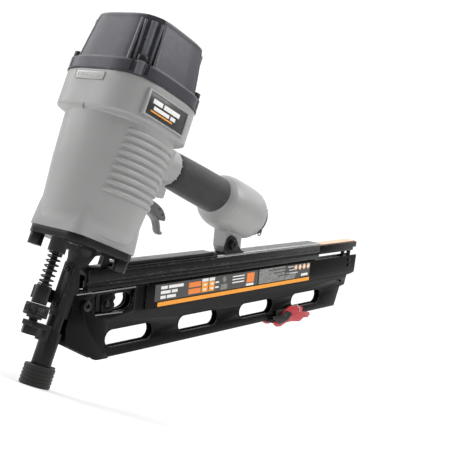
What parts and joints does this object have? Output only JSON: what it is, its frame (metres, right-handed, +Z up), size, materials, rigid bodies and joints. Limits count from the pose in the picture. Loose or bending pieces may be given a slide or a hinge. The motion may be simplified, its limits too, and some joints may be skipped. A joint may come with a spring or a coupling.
{
  "type": "pneumatic nail gun",
  "caption": "Pneumatic strip nailer: cast barrel housing with a domed head cap, side handle, slanted slotted magazine and a spring-loaded contact nose.",
  "frame": {"origin": "centre of the mouth of the nose, where the nail leaves, on the driver's axis", "axes": "+Z up along the driver's axis from the nose to the cap, +X to the rear along the handle and magazine, +Y to the tool's right-hand side"},
  "size_m": [0.5492, 0.1098, 0.3476],
  "materials": {
    "housing_grey": "light warm grey powder coat on a light-alloy casting, faint orange peel",
    "cap_grey": "dark purple-grey satin coat on a light-alloy casting",
    "gasket": "plain sheet",
    "black_fastener": "black oxide, satin",
    "alloy": "machined and anodised",
    "seal_rubber": "smooth",
    "grip_rubber": "matte moulded rubber",
    "foot_rubber": "matte moulded rubber",
    "badge_black": "domed badge with a thin orange line",
    "valve_plastic": "natural moulded",
    "spring_steel": "bright drawn",
    "dark_spring": "black oxide",
    "nose_black": "black phosphate, satin, worn on the edges",
    "magazine_black": "gloss black powder coat",
    "rail_black": "black anodised, bright on the running edges",
    "pusher_black": "moulded",
    "tan_strip": "tan, satin",
    "label_print": "printed film with plain colour blocks",
    "deflector_grey": "moulded",
    "trigger_grey": "moulded",
    "lever_red": "moulded"
  },
  "bodies": {
    "housing": {"housing": "housing_grey", "top_cap": "cap_grey", "cap_gasket": "gasket", "cap_screws": "black_fastener", "cylinder_sleeve": "alloy", "cylinder_seals": "seal_rubber", "piston_bumper": "seal_rubber", "deflector_screw": "black_fastener", "grip_sleeve": "grip_rubber", "end_cap": "cap_grey", "end_cap_seal": "gasket", "end_cap_screws": "black_fastener", "name_plates": "badge_black", "front_plate": "housing_grey", "trigger_valve_body": "valve_plastic", "trigger_valve_spring": "spring_steel", "trigger_pin": "spring_steel", "nose_body": "nose_black", "nose_screws": "black_fastener", "driver_guide_plate": "nose_black", "guide_plate_screws": "black_fastener", "head_valve_spring": "spring_steel", "magazine_left_plate": "magazine_black", "magazine_right_plate": "magazine_black", "magazine_rail": "rail_black", "rail_cover": "rail_black", "rail_end_block": "pusher_black", "wear_strip": "tan_strip", "magazine_tail_block": "pusher_black", "tail_screws": "black_fastener", "magazine_front_screws": "black_fastener", "magazine_labels": "label_print", "inspection_cover": "magazine_black", "inspection_screw": "spring_steel", "rear_bracket": "nose_black", "bracket_bolt": "black_fastener", "bracket_nut": "black_fastener"},
    "piston": {"piston": "alloy", "piston_ring": "seal_rubber", "driver_blade": "spring_steel"},
    "head_valve": {"head_valve": "valve_plastic", "head_valve_seal": "seal_rubber"},
    "exhaust_deflector": {"exhaust_deflector": "deflector_grey"},
    "trigger": {"trigger": "trigger_grey", "trigger_spring": "spring_steel", "trip_lever_pin": "spring_steel"},
    "trip_lever": {"trip_lever": "spring_steel"},
    "valve_stem": {"trigger_valve_stem": "spring_steel"},
    "contact_arm": {"contact_arm": "nose_black", "contact_spring": "dark_spring"},
    "depth_wheel": {"depth_wheel": "nose_black"},
    "contact_tip": {"contact_tip": "nose_black", "adjuster_screw": "black_fastener", "no_mar_foot": "foot_rubber"},
    "pusher": {"pusher": "pusher_black", "feed_spring": "spring_steel", "pusher_caps": "pusher_black", "pusher_pin": "spring_steel"},
    "pusher_lever": {"pusher_lever": "lever_red"}
  },
  "joints": [
    {"name": "piston_stroke", "type": "slide", "parent": "housing", "child": "piston", "axis": [0, 0, -1], "range_m": [0, 0.106]},
    {"name": "head_valve_lift", "type": "slide", "parent": "housing", "child": "head_valve", "axis": [0, 0, 1], "range_m": [0, 0.005], "stiffness_N_per_m": 2000, "springref_m": -0.008, "deforming": ["head_valve_spring"]},
    {"name": "exhaust_deflector_turn", "type": "hinge", "parent": "housing", "child": "exhaust_deflector", "pos_m": [0, 0, 0.3456], "axis": [0, 0, 1], "continuous": true},
    {"name": "trigger_pull", "type": "hinge", "parent": "housing", "child": "trigger", "pos_m": [0.056, 0, 0.1925], "axis": [0, -1, 0], "range_deg": [0, 10], "stiffness_Nm_per_rad": 0.6, "springref_deg": -22.92},
    {"name": "trip_lever_lift", "type": "hinge", "parent": "trigger", "child": "trip_lever", "pos_m": [0.08, 0, 0.1935], "axis": [0, 1, 0], "range_deg": [0, 4], "stiffness_Nm_per_rad": 0.05, "springref_deg": -17.19},
    {"name": "valve_stem_press", "type": "slide", "parent": "housing", "child": "valve_stem", "axis": [0, 0, 1], "range_m": [0, 0.0025], "stiffness_N_per_m": 1500, "springref_m": -0.003, "deforming": ["trigger_valve_spring"]},
    {"name": "contact_arm_press", "type": "slide", "parent": "housing", "child": "contact_arm", "axis": [0, 0, 1], "range_m": [0, 0.009], "stiffness_N_per_m": 1200, "springref_m": -0.012, "deforming": ["contact_spring"]},
    {"name": "depth_wheel_turn", "type": "hinge", "parent": "contact_arm", "child": "depth_wheel", "pos_m": [-0.026, 0, 0.0645], "axis": [0, 0, 1], "range_deg": [-1009, 577]},
    {"name": "depth_screw_travel", "type": "slide", "parent": "contact_arm", "child": "contact_tip", "axis": [0, 0, 1], "range_m": [-0.0035, 0.002]},
    {"name": "pusher_travel", "type": "slide", "parent": "housing", "child": "pusher", "axis": [0.9415, 0, 0.3371], "range_m": [-0.225, 0.06]},
    {"name": "pusher_lever_press", "type": "hinge", "parent": "pusher", "child": "pusher_lever", "pos_m": [0.3565, 0, 0.14496], "axis": [0, 1, 0], "range_deg": [0, 15], "stiffness_Nm_per_rad": 0.3, "springref_deg": -17.19}
  ],
  "couplings": [
    {"joint": "depth_wheel_turn", "follows": "depth_screw_travel", "rad_per_m": 5026.5}
  ]
}
